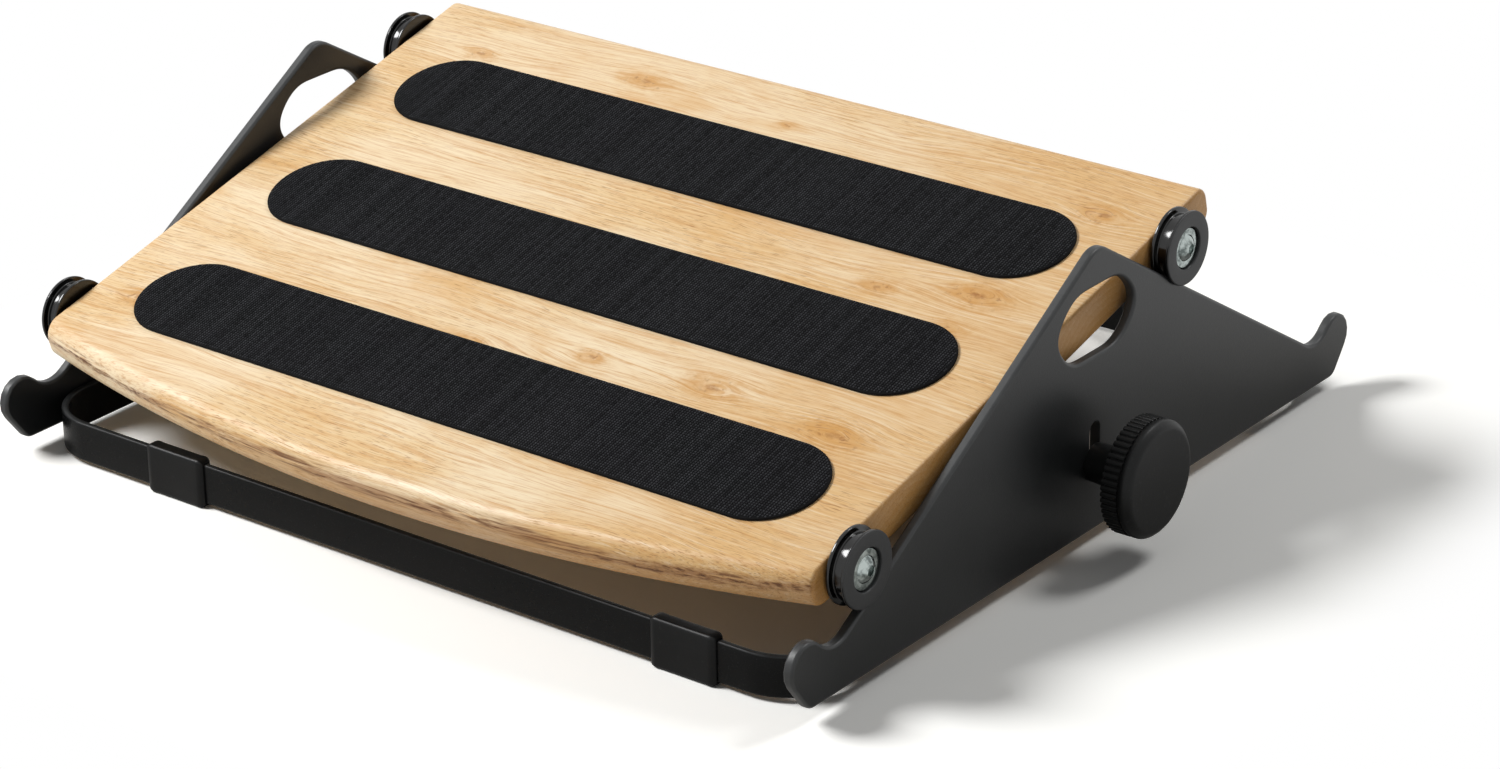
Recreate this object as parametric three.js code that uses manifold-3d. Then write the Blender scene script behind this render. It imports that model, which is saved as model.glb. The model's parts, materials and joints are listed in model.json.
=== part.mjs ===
// A tilting footrest for under a desk. A wooden board with three ribbed grip pads rocks between two
// steel side plates. Each side plate is a low inverted V. Four grooved rollers at the board's ends
// straddle the plates' sloping top edges, so the board swings and tips as the rollers run on them.
// Two bent steel bars on rubber sleeves join the plates, and a rod with a hand knob clamps them.
// Millimetres. Z is up from the floor, X runs along the board, and the low front edge faces -Y.

import * as THREE from 'three';
import { mergeVertices } from 'three/addons/utils/BufferGeometryUtils.js';
import Module from 'manifold-3d';

const wasm = await Module();
wasm.setup();

// Clearances
const seatGap = 0.3; // between pieces that touch
const runningGap = 0.5; // between a roller's tread and the plate's edge
const slotGap = 0.5; // round the rod in its slot
const cutOverrun = 1; // how far a cutter or a joined piece runs past a face

// Board
const boardWidth = 406.4;
const boardThickness = 17.5;
const boardTilt = THREE.MathUtils.degToRad(14.4);
const axleSpacing = 230.5; // between the front and rear roller axes
const axleDepth = 9.9; // roller axes below the top face
const noseReach = 47; // middle of the front edge, in front of the front axes
const frontSagitta = 24.8; // bow of the front edge
const rearReach = 31.1; // rear edge behind the rear axes
const frontTopRound = 7;
const frontBottomRound = 6;
const rearRound = 6;
const boardStations = 20;

// Grip pads
const padInset = 24.7; // ends of the pads from the board's ends
const padWidth = 50.6;
const padThickness = 1.2;
const padPitch = 87.3;
const padOffset = 8.45; // middle pad in front of the middle between the axes

// Side plates
const plateThickness = 4.8;
const slopeAngle = THREE.MathUtils.degToRad(31.36);
const tiltStop = THREE.MathUtils.degToRad(21.31); // board's tilt when a roller meets the hollow
const hollowHeight = 35.18; // centre of the hollow that stops a roller, above the bottom edge
const plateLift = 6.2; // bottom edge above the floor
const apexRound = 12;
const tipOffset = 17.8; // centre of the rounded tip, outside the hollow's centre
const tipRound = 10.5;
const endAngle = THREE.MathUtils.degToRad(53);
const cornerRound = 6.5;

// Handle hole, measured down from where the two slopes would meet, and from the plate's middle
const handleTopDrop = 18;
const handleTopHalf = 16.5;
const handleSideDrop = 33.3;
const handleSideHalf = 31.8;
const handleBottomDrop = 48.1;
const handleBottomHalf = 17;
const handleRound = 8;

// Tension rod and its slot
const rodRadius = 3.2;
const rodHeight = 31; // rod's axis above the plate's bottom edge
const slotTravel = 14.2;
const rodHeadRadius = 7.5;
const rodHeadHeight = 3.6;
const rodEndGap = 1; // rod's end short of the insert's inner end
const clampWasherRadius = 8;
const clampWasherThickness = 1;

// Rollers and what they turn on
const treadRadius = 13.5;
const flangeHeight = 2.5; // flange above the tread
const flangeWidth = 1.5;
const flangeChamfer = 0.5;
const grooveGap = 0.4; // between the groove's walls and the plate, each side
const recessRadius = 9;
const recessDepth = 2.6;
const shankRadius = 3;
const shankReach = 12; // screw's shank inside the board
const screwHeadRadius = 5.7;
const screwHeadHeight = 2.6;
const socketRadius = 2.3;
const socketDepth = 1.5;
const bushRadius = 5.5;
const bushProud = 0.2; // bush past the roller's web, so that the roller stays free
const washerRadius = 7.2;
const washerThickness = 1;
const spacerRadius = 7;
const spacerThickness = 0.5;
const insertRadius = 4.5;
const insertLength = 15;

// Knob
const knobRadius = 25;
const knobThickness = 13.5;
const knobReach = 32; // outer face beyond the side plate
const knobBandWidth = 8.2; // ribbed band at the back of the rim
const knobChamfer = 1.6;
const knobRibs = 48;
const ribDepth = 0.9;
const bossRadius = 8.2;
const knobInsertRadius = 5;
const knobInsertLength = 14;

// Base bars and the rubber sleeves on them
const barHeight = 17.8;
const barThickness = 3;
const barOffset = 13.4; // outer face of the bar outside the hollow's centre
const barCornerRound = 29;
const barLegLength = 60;
const sleeveWall = 1.8;
const sleeveWidth = 32;
const sleeveRound = 1;
const sleeveInsets = { left: 84.6, right: 57.8 }; // from the bar's outer sides

// Facets of round pieces
const smallSteps = 16;
const rollerSteps = 36;
const knobSteps = 48;
const arcSteps = 8;

// Places worked out from the sizes above
const treadDistance = treadRadius + runningGap;
const flangeRadius = treadRadius + flangeHeight;
const grooveWidth = plateThickness + 2 * grooveGap;
const rollerWidth = 2 * flangeWidth + grooveWidth;
const rollerStart = 2 * seatGap + spacerThickness; // inner face of a roller from the board's end
const plateMiddle = boardWidth / 2 + rollerStart + rollerWidth / 2;
const plateInner = plateMiddle - plateThickness / 2;
const plateOuter = plateMiddle + plateThickness / 2;
const clampStart = plateOuter + 2 * seatGap + clampWasherThickness;
const rodZ = plateLift + rodHeight;
const barSide = plateInner - seatGap; // outer faces of the bar's legs from the middle
const rodGrip = knobInsertLength - rodEndGap;
const padLength = boardWidth - 2 * padInset;

// Where the front axle stands, in front of the middle, when the board has a given tilt
const axleReach = (tilt) => (axleSpacing / 2) * (Math.sin(tilt) / Math.tan(slopeAngle) + Math.cos(tilt));
const hollowReach = axleReach(tiltStop);
const barReach = hollowReach + barOffset;
const treadRise = treadDistance / Math.cos(slopeAngle); // axle straight above a slope
const plateRise = hollowHeight + hollowReach * Math.tan(slopeAngle) - treadRise; // where the slopes would meet
const barLift = sleeveWall + seatGap;

const finishes = {
  wood: new THREE.MeshStandardMaterial({ color: 0xd9b382, roughness: 0.5, metalness: 0 }),
  powderCoat: new THREE.MeshStandardMaterial({ color: 0x2b2c2d, roughness: 0.6, metalness: 0.2 }),
  barCoat: new THREE.MeshStandardMaterial({ color: 0x1b1c1d, roughness: 0.4, metalness: 0.2 }),
  rubber: new THREE.MeshStandardMaterial({ color: 0x17181a, roughness: 0.8, metalness: 0 }),
  padRubber: new THREE.MeshStandardMaterial({ color: 0x222325, roughness: 0.85, metalness: 0 }),
  rollerPlastic: new THREE.MeshStandardMaterial({ color: 0x121314, roughness: 0.3, metalness: 0 }),
  knobPlastic: new THREE.MeshStandardMaterial({ color: 0x1a1b1c, roughness: 0.6, metalness: 0 }),
  zinc: new THREE.MeshStandardMaterial({ color: 0xb9bbb8, roughness: 0.35, metalness: 0.9 }),
  brass: new THREE.MeshStandardMaterial({ color: 0xb08d4a, roughness: 0.35, metalness: 0.9 }),
  bushPlastic: new THREE.MeshStandardMaterial({ color: 0xd8d8d2, roughness: 0.5, metalness: 0 }),
};

// Closed geometry: shared corners become one, and faces with no area go.
function closed(geometry) {
  const bare = geometry.clone();
  bare.deleteAttribute('normal');
  bare.deleteAttribute('uv');
  const whole = mergeVertices(bare);
  const corners = Array.from(whole.index.array);
  const kept = [];
  for (let i = 0; i < corners.length; i += 3) {
    const [a, b, c] = corners.slice(i, i + 3);
    if (a !== b && b !== c && c !== a) kept.push(a, b, c);
  }
  whole.setIndex(kept);
  return whole;
}

function solid(geometry) {
  const whole = closed(geometry);
  const vertProperties = new Float32Array(whole.attributes.position.array);
  const triVerts = new Uint32Array(whole.index.array);
  return new wasm.Manifold(new wasm.Mesh({ numProp: 3, vertProperties, triVerts }));
}

function geometryOf(manifold) {
  const { vertProperties, triVerts } = manifold.getMesh();
  const geometry = new THREE.BufferGeometry();
  geometry.setAttribute('position', new THREE.BufferAttribute(new Float32Array(vertProperties), 3));
  geometry.setIndex(new THREE.BufferAttribute(new Uint32Array(triVerts), 1));
  return geometry;
}

// A piece cut by several others, which all are geometries
function cut(geometry, ...cutters) {
  return geometryOf(cutters.reduce((body, cutter) => body.subtract(solid(cutter)), solid(geometry)));
}

function piece(name, geometry, finish) {
  const mesh = new THREE.Mesh(closed(geometry), finishes[finish]);
  mesh.name = name;
  return mesh;
}

// An outline drawn in Y and Z, extruded along X from the plane X = 0
const acrossX = new THREE.Matrix4().makeBasis(
  new THREE.Vector3(0, 1, 0),
  new THREE.Vector3(0, 0, 1),
  new THREE.Vector3(1, 0, 0),
);
function extrudedAcross(shape, width) {
  const geometry = new THREE.ExtrudeGeometry(shape, { depth: width, bevelEnabled: false, curveSegments: arcSteps });
  return geometry.applyMatrix4(acrossX);
}

// A turned piece about X. The profile is [distance along X, radius], anticlockwise with X up.
function turned(profile, steps) {
  const points = profile.map(([along, radius]) => new THREE.Vector2(radius, along));
  return new THREE.LatheGeometry([...points, points[0]], steps).rotateZ(-Math.PI / 2);
}

function tube(start, end, outerRadius, innerRadius, steps = smallSteps) {
  return turned([[start, innerRadius], [start, outerRadius], [end, outerRadius], [end, innerRadius]], steps);
}

function bar(start, end, radius, steps = smallSteps) {
  return turned([[start, 0], [start, radius], [end, radius], [end, 0]], steps);
}

// Points of an arc between two angles, ends included
function arc(centreX, centreY, radius, from, to) {
  const at = (i) => from + ((to - from) * i) / arcSteps;
  return Array.from({ length: arcSteps + 1 }, (_, i) => new THREE.Vector2(
    centreX + radius * Math.cos(at(i)),
    centreY + radius * Math.sin(at(i)),
  ));
}

// A polygon whose corners are all rounded to one radius
function roundedPolygon(corners, radius) {
  return corners.flatMap((corner, i) => {
    const before = corners[(i + corners.length - 1) % corners.length];
    const after = corners[(i + 1) % corners.length];
    const inward = before.clone().sub(corner).normalize();
    const onward = after.clone().sub(corner).normalize();
    const halfAngle = Math.acos(inward.dot(onward)) / 2;
    const centre = inward.clone().add(onward).normalize().multiplyScalar(radius / Math.sin(halfAngle)).add(corner);
    const turn = Math.PI - 2 * halfAngle;
    const middle = corner.clone().sub(centre).angle();
    return arc(centre.x, centre.y, radius, middle - turn / 2, middle + turn / 2);
  });
}

const point = (x, y) => new THREE.Vector2(x, y);
const mirrored = (points) => points.map((p) => point(-p.x, p.y)).reverse();

// Side plate: one half of its outline from the bottom edge round the tip and up to the apex
function plateHalf() {
  const tipReach = hollowReach + tipOffset;
  const tipDrop = Math.sqrt((treadDistance + tipRound) ** 2 - tipOffset ** 2);
  const tipHeight = hollowHeight - tipDrop;
  const towardsHollow = Math.atan2(tipDrop, -tipOffset);
  const endX = tipReach + (tipRound - tipHeight * Math.cos(endAngle)) / Math.sin(endAngle);
  const cornerX = endX - cornerRound * Math.tan(endAngle / 2);
  const apexHeight = plateRise - apexRound / Math.cos(slopeAngle);
  return [
    ...arc(cornerX, cornerRound, cornerRound, -Math.PI / 2, endAngle - Math.PI / 2),
    ...arc(tipReach, tipHeight, tipRound, endAngle - Math.PI / 2, towardsHollow),
    ...arc(hollowReach, hollowHeight, treadDistance, towardsHollow - Math.PI, -Math.PI / 2 - slopeAngle),
    ...arc(0, apexHeight, apexRound, Math.PI / 2 - slopeAngle, Math.PI / 2),
  ];
}

function handleHole() {
  const half = [
    point(handleBottomHalf, plateRise - handleBottomDrop),
    point(handleSideHalf, plateRise - handleSideDrop),
    point(handleTopHalf, plateRise - handleTopDrop),
  ];
  return roundedPolygon([...half, ...mirrored(half)], handleRound);
}

function rodSlot() {
  const radius = rodRadius + slotGap;
  return [
    ...arc(0, rodHeight + slotTravel, radius, 0, Math.PI),
    ...arc(0, rodHeight, radius, Math.PI, 2 * Math.PI),
  ];
}

function sidePlate(name, start) {
  const half = plateHalf();
  const outline = new THREE.Shape([...half, ...mirrored(half).slice(1)]);
  outline.holes.push(new THREE.Path(handleHole()), new THREE.Path(rodSlot()));
  const plate = piece(name, extrudedAcross(outline, plateThickness), 'powderCoat');
  plate.position.set(start, 0, plateLift);
  return plate;
}

// Base bar: a flat strip bent into a U, whose legs lie along the plates' inner faces
function barOutline() {
  const bend = point(barSide - barCornerRound, barCornerRound - barReach);
  const legEnd = barLegLength - barReach;
  const outer = [
    point(barSide, legEnd),
    ...arc(bend.x, bend.y, barCornerRound, 0, -Math.PI / 2),
  ];
  const inner = [
    ...arc(bend.x, bend.y, barCornerRound - barThickness, -Math.PI / 2, 0),
    point(barSide - barThickness, legEnd),
  ];
  return new THREE.Shape([...outer, ...mirrored(outer), ...mirrored(inner), ...inner].reverse());
}

function sleeveOutline() {
  const halfDepth = barThickness / 2 + seatGap;
  const halfHeight = barHeight / 2 + seatGap;
  const box = (y, z) => [point(y, -z), point(y, z), point(-y, z), point(-y, -z)];
  const outline = new THREE.Shape(roundedPolygon(box(halfDepth + sleeveWall, halfHeight + sleeveWall), sleeveRound));
  outline.holes.push(new THREE.Path(box(halfDepth, halfHeight)));
  return outline;
}

// One bar with its two sleeves, drawn as the front one
function baseBar(end, placeNames) {
  const group = new THREE.Group();
  const strip = new THREE.ExtrudeGeometry(barOutline(), { depth: barHeight, bevelEnabled: false });
  const steel = piece(`base_bar_${end}`, strip, 'barCoat');
  steel.position.z = barLift;
  group.add(steel);
  Object.entries(sleeveInsets).forEach(([place, inset]) => {
    const x = (place === 'left' ? -1 : 1) * (barSide - inset);
    const sleeve = piece(
      `foot_sleeve_${end}_${placeNames[place]}`,
      extrudedAcross(sleeveOutline(), sleeveWidth),
      'rubber',
    );
    sleeve.position.set(x - sleeveWidth / 2, barThickness / 2 - barReach, barLift + barHeight / 2);
    group.add(sleeve);
  });
  return group;
}

// Board: cross-sections in Y and Z, stitched together along X
function boardSection(x) {
  const bowRadius = (boardWidth ** 2 / 4 + frontSagitta ** 2) / (2 * frontSagitta);
  const front = bowRadius - Math.sqrt(bowRadius ** 2 - x ** 2) - axleSpacing / 2 - noseReach;
  const rear = axleSpacing / 2 + rearReach;
  const bottom = axleDepth - boardThickness;
  const quarter = Math.PI / 2;
  return [
    ...arc(front + frontBottomRound, bottom + frontBottomRound, frontBottomRound, 2 * quarter, 3 * quarter),
    ...arc(rear - rearRound, bottom + rearRound, rearRound, -quarter, 0),
    ...arc(rear - rearRound, axleDepth - rearRound, rearRound, 0, quarter),
    ...arc(front + frontTopRound, axleDepth - frontTopRound, frontTopRound, quarter, 2 * quarter),
  ];
}

function boardBlank() {
  const places = Array.from({ length: boardStations + 1 }, (_, i) => boardWidth * (i / boardStations - 1 / 2));
  const rings = places.map(boardSection);
  const ringLength = rings[0].length;
  const corners = rings.flatMap((ring, i) => ring.flatMap((p) => [places[i], p.x, p.y]));
  const faces = [];
  for (let i = 0; i < boardStations; i += 1) {
    for (let j = 0; j < ringLength; j += 1) {
      const a = i * ringLength + j;
      const b = i * ringLength + ((j + 1) % ringLength);
      faces.push(a, b, a + ringLength, b, b + ringLength, a + ringLength);
    }
  }
  const last = boardStations * ringLength;
  THREE.ShapeUtils.triangulateShape(rings[0], []).forEach(([a, b, c]) => {
    faces.push(a, c, b, last + a, last + b, last + c);
  });
  const geometry = new THREE.BufferGeometry();
  geometry.setAttribute('position', new THREE.Float32BufferAttribute(corners, 3));
  geometry.setIndex(faces);
  return geometry;
}

// Each corner of the board: side is -1 or 1 along X, end is -1 or 1 along the board's depth.
const corners = [
  { name: 'front_left', side: -1, end: -1 },
  { name: 'front_right', side: 1, end: -1 },
  { name: 'rear_left', side: -1, end: 1 },
  { name: 'rear_right', side: 1, end: 1 },
];

function insertBore({ side, end }) {
  const bore = bar(-insertLength - seatGap, cutOverrun, insertRadius + seatGap);
  if (side < 0) bore.rotateZ(Math.PI);
  return bore.translate(side * (boardWidth / 2), end * (axleSpacing / 2), 0);
}

function padOutline() {
  const radius = padWidth / 2;
  const straight = padLength / 2 - radius;
  return new THREE.Shape([
    ...arc(straight, 0, radius, -Math.PI / 2, Math.PI / 2),
    ...arc(-straight, 0, radius, Math.PI / 2, (3 * Math.PI) / 2),
  ]);
}

function gripPad(name, row) {
  const sheet = new THREE.ExtrudeGeometry(padOutline(), { depth: padThickness, bevelEnabled: false });
  const pad = piece(name, sheet, 'padRubber');
  pad.position.set(0, row * padPitch - padOffset, axleDepth + seatGap);
  return pad;
}

function rollerProfile() {
  const groove = rollerStart + flangeWidth;
  const outer = rollerStart + rollerWidth;
  const rim = flangeRadius - flangeChamfer;
  const bore = bushRadius + seatGap;
  return [
    [rollerStart, bore],
    [rollerStart, rim],
    [rollerStart + flangeChamfer, flangeRadius],
    [groove, flangeRadius],
    [groove, treadRadius],
    [groove + grooveWidth, treadRadius],
    [groove + grooveWidth, flangeRadius],
    [outer - flangeChamfer, flangeRadius],
    [outer, rim],
    [outer, recessRadius],
    [outer - recessDepth, recessRadius],
    [outer - recessDepth, bore],
  ];
}

// Button-head screw with a hexagonal socket; its head is part of a sphere
function rollerScrew(headStart) {
  const bulge = (screwHeadRadius ** 2 + screwHeadHeight ** 2) / (2 * screwHeadHeight);
  const halfAngle = Math.asin(screwHeadRadius / bulge);
  const centre = headStart + screwHeadHeight - bulge;
  const dome = arc(centre, 0, bulge, halfAngle, 0).map((p) => [p.x, Math.max(p.y, 0)]);
  const blank = turned([
    [-shankReach, 0],
    [-shankReach, shankRadius],
    [headStart, shankRadius],
    ...dome,
  ], smallSteps);
  const headEnd = headStart + screwHeadHeight;
  return cut(blank, bar(headEnd - socketDepth, headEnd + cutOverrun, socketRadius, 6));
}

// What hangs on one corner of the board, drawn for the right-hand end with the board's end at X = 0
function rollerSet({ name, side, end }) {
  const group = new THREE.Group();
  const hole = shankRadius + seatGap;
  const bushEnd = rollerStart + rollerWidth - recessDepth + bushProud;
  const washerStart = bushEnd + seatGap;
  const headStart = washerStart + washerThickness + seatGap;
  group.add(
    piece(`threaded_insert_${name}`, tube(-insertLength, 0, insertRadius, hole), 'brass'),
    piece(`spacer_washer_${name}`, tube(seatGap, seatGap + spacerThickness, spacerRadius, hole), 'zinc'),
    piece(`roller_${name}`, turned(rollerProfile(), rollerSteps), 'rollerPlastic'),
    piece(`roller_bush_${name}`, tube(rollerStart, bushEnd, bushRadius, hole), 'bushPlastic'),
    piece(`roller_washer_${name}`, tube(washerStart, washerStart + washerThickness, washerRadius, hole), 'zinc'),
    piece(`roller_screw_${name}`, rollerScrew(headStart), 'zinc'),
  );
  group.position.set(side * (boardWidth / 2), end * (axleSpacing / 2), 0);
  group.rotation.z = side < 0 ? Math.PI : 0;
  return group;
}

// The platform stands where all four rollers touch the slopes at the tilt it has at rest.
function platform() {
  const group = new THREE.Group();
  const slope = Math.tan(slopeAngle);
  const crossing = plateLift + plateRise + treadRise;
  group.position.y = (-axleSpacing * Math.sin(boardTilt)) / (2 * slope);
  group.position.z = crossing - (axleSpacing * Math.cos(boardTilt) * slope) / 2;
  group.rotation.x = boardTilt;
  group.add(piece('platform_board', cut(boardBlank(), ...corners.map(insertBore)), 'wood'));
  ['front', 'middle', 'rear'].forEach((row, i) => group.add(gripPad(`grip_pad_${row}`, i - 1)));
  corners.forEach((corner) => group.add(rollerSet(corner)));
  return group;
}

// Knob: a ribbed band, a smooth front and a boss at the back, with a blind bore for its insert
function knobRim() {
  const grooveRadius = knobRadius - ribDepth;
  const step = Math.PI / (2 * knobRibs);
  const ring = Array.from({ length: 4 * knobRibs }, (_, i) => {
    const radius = i % 4 < 2 ? knobRadius : grooveRadius;
    return point(radius * Math.cos(i * step), radius * Math.sin(i * step));
  });
  return extrudedAcross(new THREE.Shape(ring), knobBandWidth);
}

function knobBody(bossLength) {
  const front = knobRadius - knobChamfer;
  const face = turned([
    [knobBandWidth - cutOverrun, 0],
    [knobBandWidth - cutOverrun, front],
    [knobBandWidth, knobRadius],
    [knobThickness - knobChamfer, knobRadius],
    [knobThickness, front],
    [knobThickness, 0],
  ], knobSteps);
  const boss = bar(-bossLength, cutOverrun, bossRadius, 2 * smallSteps);
  const bore = bar(-bossLength - cutOverrun, knobInsertLength + seatGap - bossLength, knobInsertRadius + seatGap);
  return geometryOf(solid(knobRim()).add(solid(face)).add(solid(boss)).subtract(solid(bore)));
}

function clamp() {
  const group = new THREE.Group();
  const hole = rodRadius + seatGap;
  const bossLength = plateOuter + knobReach - knobThickness - clampStart;
  const rodHeadChamfer = rodHeadHeight / 2;
  const rod = turned([
    [-clampStart - rodHeadHeight, 0],
    [-clampStart - rodHeadHeight, rodHeadRadius - rodHeadChamfer],
    [-clampStart - rodHeadChamfer, rodHeadRadius],
    [-clampStart, rodHeadRadius],
    [-clampStart, rodRadius],
    [clampStart + rodGrip, rodRadius],
    [clampStart + rodGrip, 0],
  ], smallSteps);
  const washer = () => tube(0, clampWasherThickness, clampWasherRadius, hole);
  const right = piece('clamp_washer_right', washer(), 'zinc');
  right.position.x = plateOuter + seatGap;
  const left = piece('clamp_washer_left', washer(), 'zinc');
  left.position.x = -plateOuter - seatGap - clampWasherThickness;
  const insert = piece('knob_insert', tube(0, knobInsertLength, knobInsertRadius, hole), 'brass');
  insert.position.x = clampStart;
  const knob = piece('knob', knobBody(bossLength), 'knobPlastic');
  knob.position.x = clampStart + bossLength;
  group.add(piece('tension_rod', rod, 'zinc'), left, right, insert, knob);
  group.position.z = rodZ;
  return group;
}

const footrest = new THREE.Group();
const rearBar = baseBar('rear', { left: 'right', right: 'left' });
rearBar.rotation.z = Math.PI;
footrest.add(
  sidePlate('side_plate_left', -plateOuter),
  sidePlate('side_plate_right', plateInner),
  baseBar('front', { left: 'left', right: 'right' }),
  rearBar,
  platform(),
  clamp(),
);

// The origin is on the floor under the middle of the whole object.
const middle = new THREE.Box3().setFromObject(footrest, true).getCenter(new THREE.Vector3());
footrest.position.set(-middle.x, -middle.y, 0);
const object = new THREE.Group();
object.add(footrest);

export default object;
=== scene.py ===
# %% [markdown]
# A footrest that stands under a desk. A wooden board with three ribbed grip pads rocks on four
# grooved rollers, which run along the sloping edges of two steel side plates. This lesson gives
# each part its real surface. The solids of the frame fix every size and place, so each piece here
# is measured from a solid, or drawn from the same few sizes.

# %% Load the frame
import json
import math
import random

import bmesh
import bpy
from mathutils import Matrix, Vector
from mathutils.geometry import tessellate_polygon


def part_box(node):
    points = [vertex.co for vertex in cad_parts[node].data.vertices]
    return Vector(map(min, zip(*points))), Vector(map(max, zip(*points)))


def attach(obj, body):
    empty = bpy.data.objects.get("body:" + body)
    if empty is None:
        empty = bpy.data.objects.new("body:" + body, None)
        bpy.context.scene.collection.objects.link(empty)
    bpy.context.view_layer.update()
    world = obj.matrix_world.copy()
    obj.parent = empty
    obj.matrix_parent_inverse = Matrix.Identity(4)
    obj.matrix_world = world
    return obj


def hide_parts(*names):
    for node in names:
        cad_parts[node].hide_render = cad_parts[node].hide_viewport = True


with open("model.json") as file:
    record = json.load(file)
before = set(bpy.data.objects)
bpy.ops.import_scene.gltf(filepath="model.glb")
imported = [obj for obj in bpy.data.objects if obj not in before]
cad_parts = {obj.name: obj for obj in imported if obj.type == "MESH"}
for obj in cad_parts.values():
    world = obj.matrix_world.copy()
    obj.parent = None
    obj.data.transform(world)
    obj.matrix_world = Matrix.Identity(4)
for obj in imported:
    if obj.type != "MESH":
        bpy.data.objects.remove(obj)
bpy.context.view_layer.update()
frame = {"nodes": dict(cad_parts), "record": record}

MM = 0.001
record = frame["record"]
body_of = {node: body for body, nodes in record["behaviour"]["bodies"].items() for node in nodes}
slot_of = {part["node"]: part["material_slot"] for part in record["subparts"]}

# %% [markdown]
# The board rocks, so its own directions are turned against the floor's. Two roller axes give that
# turn: the front roller and the rear roller both hang on the board's end. From their centres come
# a middle point and a tilt. With these the board can be drawn lying flat and then set in place.

# %% Find the board's own frame
def middle_of(node):
    low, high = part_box(node)
    return (low + high) / 2


front_axle = middle_of("roller_front_left")
rear_axle = middle_of("roller_rear_right")
board_tilt = math.atan2(rear_axle.z - front_axle.z, rear_axle.y - front_axle.y)
board_middle = (front_axle + rear_axle) / 2
board_place = Matrix.Translation(board_middle) @ Matrix.Rotation(board_tilt, 4, "X")
axle_spacing = math.hypot(rear_axle.y - front_axle.y, rear_axle.z - front_axle.z)
print("tilt in degrees:", round(math.degrees(board_tilt), 2))
print("axles apart in mm:", round(axle_spacing / MM, 1))

# %% [markdown]
# A material in Blender is a drawing of nodes and links. Written out node by node it soon grows
# too long to read. Here one class wraps an output socket, so that sums on it can be written as
# sums, and a second class adds any node with its settings and the values or links it takes.

# %% Wires and patches
class Wire:
    """An output socket. Each sum on it, as named in SUMS, adds a Math node to its tree."""

    def __init__(self, patch, socket):
        self.patch = patch
        self.socket = socket

    def of(self, name):
        """Another output of the same node."""
        return Wire(self.patch, self.socket.node.outputs[name])


SUMS = {"add": "ADD", "sub": "SUBTRACT", "mul": "MULTIPLY", "truediv": "DIVIDE", "pow": "POWER"}


def sum_method(operation, turned_round):
    """The method for one kind of sum, turned round where the wire comes second, as in 1 - w."""
    def method(self, other):
        first, second = (other, self) if turned_round else (self, other)
        return self.patch.math(operation, first, second)
    return method


for sign, operation in SUMS.items():
    setattr(Wire, f"__{sign}__", sum_method(operation, False))
    setattr(Wire, f"__r{sign}__", sum_method(operation, True))


class Patch:
    """A node tree, and one way to add any node to it."""

    def __init__(self, tree):
        self.tree = tree

    def node(self, kind, values=None, out=0, **settings):
        made = self.tree.nodes.new(kind)
        for name, value in settings.items():
            setattr(made, name, value)
        for name, value in (values or {}).items():
            for item in value if isinstance(value, list) else [value]:
                if isinstance(item, Wire):
                    self.tree.links.new(item.socket, made.inputs[name])
                else:
                    made.inputs[name].default_value = item
        return Wire(self, made.outputs[out]) if made.outputs else None

    def math(self, operation, *inputs):
        return self.node("ShaderNodeMath", dict(enumerate(inputs)), operation=operation)

# %% [markdown]
# Colours are easiest to choose as they look on a screen, as in #d9b382, but a renderer counts in
# amounts of light. So each is turned once, here. The helper for materials also holds the few steps
# that every finish needs: noise, a soft step, layers of colour, a bump and the surface itself.
# All patterns are drawn in millimetres on the piece itself, so that they turn and slide with it.

# %% Finishes
def shade(code):
    """A screen colour written #rrggbb, as linear light."""
    parts = [int(code[i:i + 2], 16) / 255 for i in (1, 3, 5)]
    return (*[c / 12.92 if c <= 0.04045 else ((c + 0.055) / 1.055) ** 2.4 for c in parts], 1)


class Finish(Patch):
    """A material whose patterns are drawn in millimetres from a given place."""

    def __init__(self, name, place=Matrix.Identity(4)):
        self.material = bpy.data.materials.new(name)
        self.material.use_nodes = True
        super().__init__(self.material.node_tree)
        self.tree.nodes.clear()
        back = place.inverted()
        self.spot = self.node("ShaderNodeMapping", {
            "Vector": self.node("ShaderNodeTexCoord", out="Object"),
            "Location": back.translation / MM,
            "Rotation": back.to_euler(),
            "Scale": (1 / MM, 1 / MM, 1 / MM),
        }, vector_type="POINT")

    def stretched(self, along, across, upright, shift=(0, 0, 0), spot=None):
        """The place, squeezed by one number each way, for a pattern that runs in a direction."""
        values = {0: spot or self.spot, 1: (along, across, upright), 2: shift}
        return self.node("ShaderNodeVectorMath", values, operation="MULTIPLY_ADD")

    def noise(self, scale=1.0, detail=2.0, rough=0.5, spot=None):
        values = {"Scale": scale, "Detail": detail, "Roughness": rough}
        values["Vector"] = spot or self.spot
        return self.node("ShaderNodeTexNoise", values, noise_dimensions="3D")

    def step(self, value, low, high):
        """0 at low and 1 at high, with a soft way between them."""
        values = {"Value": value, "From Min": low, "From Max": high}
        return self.node("ShaderNodeMapRange", values, interpolation_type="SMOOTHSTEP")

    def mix(self, amount, first, second):
        values = {0: amount, 6: first, 7: second}
        return self.node("ShaderNodeMix", values, 2, data_type="RGBA", clamp_factor=True)

    def layers(self, ground, washes):
        """A ground colour with washes of other colours over it, each by its own amount."""
        base = shade(ground)
        for amount, colour in washes:
            base = self.mix(amount, base, shade(colour))
        return base

    def bump(self, height, distance):
        values = {"Height": height, "Distance": distance * MM, "Strength": 1.0}
        return self.node("ShaderNodeBump", values)

    def mark(self, name):
        """A number painted on the piece's own points, and 0 where none is painted."""
        return self.node("ShaderNodeAttribute", out="Fac", attribute_name=name)

    def surface(self, sockets):
        shader = self.node("ShaderNodeBsdfPrincipled", sockets)
        self.node("ShaderNodeOutputMaterial", {"Surface": shader})
        return self.material

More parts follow.
